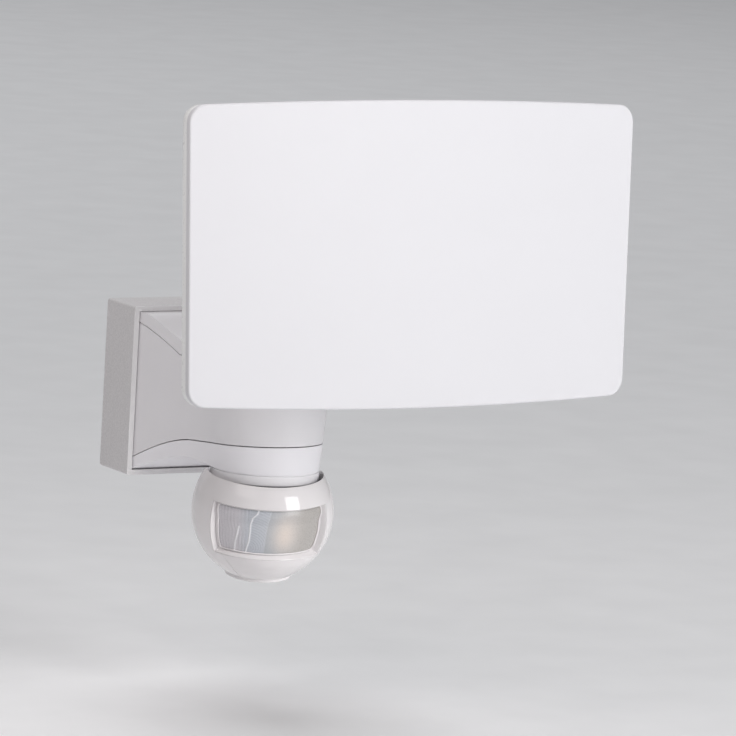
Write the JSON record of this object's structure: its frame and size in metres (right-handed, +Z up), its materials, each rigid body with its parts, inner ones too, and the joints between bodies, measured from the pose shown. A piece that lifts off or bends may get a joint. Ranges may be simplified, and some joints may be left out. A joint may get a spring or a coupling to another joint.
{
  "type": "motion sensor wall light",
  "caption": "Wall light with a curved opal lamp panel on a swivel and tilt elbow, a trumpet shaped arm on a square wall box, and a ball shaped motion sensor below.",
  "frame": {"origin": "centre of the wall box's back face", "axes": "+X to the right seen from the front, +Y into the wall, +Z up"},
  "size_m": [0.1816, 0.1676, 0.1899],
  "materials": {
    "white_plastic": "fine grained moulded plastic",
    "gloss_white_plastic": "glossy moulded plastic",
    "opal_plastic": "smooth opal plastic",
    "lens_plastic": "milky faceted lens plastic",
    "rubber": "soft rubber",
    "silicone": "silicone seal",
    "heat_sink_metal": "cast and powder coated white",
    "bright_steel": "zinc plated",
    "brass": "turned",
    "circuit_board": "circuit board",
    "board_metal": "white coated board",
    "lamp_chip": "phosphor coated",
    "dark_plastic": "moulded plastic",
    "dial_plastic": "moulded plastic"
  },
  "bodies": {
    "bracket": {"wall_base": "white_plastic", "cable_grommet": "rubber", "terminal_block": "white_plastic", "terminal_screws": "brass", "lock_screws": "bright_steel", "arm_housing": "white_plastic", "arm_top_cover": "white_plastic", "arm_bottom_cover": "white_plastic", "sensor_collar": "gloss_white_plastic", "driver_board": "circuit_board", "driver_coil": "dark_plastic", "driver_capacitor": "dark_plastic", "swivel_tube": "bright_steel", "swivel_nut": "bright_steel", "friction_washer": "dark_plastic", "spring_washer": "bright_steel"},
    "elbow": {"elbow": "white_plastic", "elbow_cap": "white_plastic"},
    "lamp_head": {"diffuser": "opal_plastic", "head_frame": "white_plastic", "head_seal": "silicone", "heat_sink": "heat_sink_metal", "tilt_bolt": "bright_steel", "tilt_nut": "bright_steel", "tilt_washers": "dark_plastic", "led_board": "board_metal", "led_chips": "lamp_chip", "reflector": "white_plastic", "panel_screws": "bright_steel"},
    "sensor_turntable": {"sensor_yoke": "dark_plastic"},
    "sensor_head": {"sensor_shell": "gloss_white_plastic", "window_bezel": "gloss_white_plastic", "sensor_lens": "lens_plastic", "sensor_lower_cover": "gloss_white_plastic", "sensor_board": "circuit_board", "pir_element": "bright_steel", "trimmers": "dark_plastic", "pivot_pins": "bright_steel"},
    "time_dial": {"time_dial": "dial_plastic"},
    "twilight_dial": {"twilight_dial": "dial_plastic"}
  },
  "joints": [
    {"name": "panel_swivel", "type": "hinge", "parent": "bracket", "child": "elbow", "pos_m": [0, -0.06, 0.015], "axis": [0, 0, 1], "range_deg": [-60, 60]},
    {"name": "panel_tilt", "type": "hinge", "parent": "elbow", "child": "lamp_head", "pos_m": [0, -0.124, 0.064], "axis": [1, 0, 0], "range_deg": [-15, 35]},
    {"name": "sensor_pan", "type": "hinge", "parent": "bracket", "child": "sensor_turntable", "pos_m": [0, -0.06, -0.0397], "axis": [0, 0, 1], "range_deg": [-60, 100]},
    {"name": "sensor_tilt", "type": "hinge", "parent": "sensor_turntable", "child": "sensor_head", "pos_m": [0, -0.06, -0.0397], "axis": [0.9397, -0.342, 0], "range_deg": [-7, 13]},
    {"name": "time_dial_turn", "type": "hinge", "parent": "sensor_head", "child": "time_dial", "pos_m": [-0.00466, -0.05527, -0.06293], "axis": [-0.0417, -0.1145, 0.9925], "range_deg": [-135, 135]},
    {"name": "twilight_dial_turn", "type": "hinge", "parent": "sensor_head", "child": "twilight_dial", "pos_m": [0.00661, -0.05937, -0.06293], "axis": [-0.0417, -0.1145, 0.9925], "range_deg": [-135, 135]}
  ]
}
